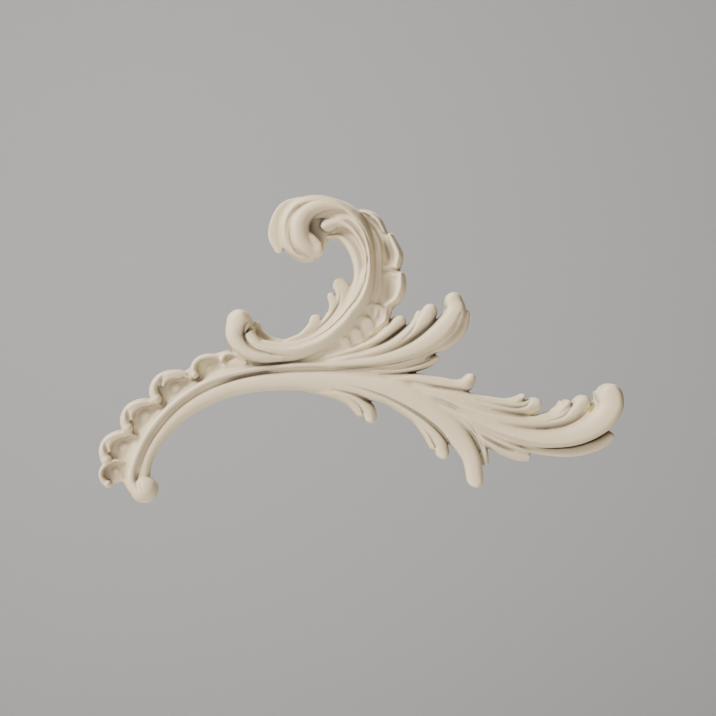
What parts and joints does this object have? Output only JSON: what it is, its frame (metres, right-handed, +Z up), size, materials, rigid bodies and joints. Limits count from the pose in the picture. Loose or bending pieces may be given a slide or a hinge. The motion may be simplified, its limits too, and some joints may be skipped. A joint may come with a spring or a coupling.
{
  "type": "polyurethane onlay",
  "caption": "Flat-backed acanthus scroll onlay: an arched stem with shell lobes and a ball end, a large curled scroll, and leaf sprays running to the right.",
  "frame": {"origin": "on the flat back, behind the middle of the trunk from which the scroll and both sprays grow", "axes": "+X to the right along the onlay's length, seen from the front; +Y out of the flat back, into the wall; +Z up. The relief stands out towards -Y"},
  "size_m": [0.2629, 0.0155, 0.1545],
  "materials": {
    "primed_polyurethane": "satin ivory factory primer, a little darker and yellower in the deep hollows"
  },
  "bodies": {
    "root": {"scroll_onlay": "primed_polyurethane"}
  },
  "joints": []
}
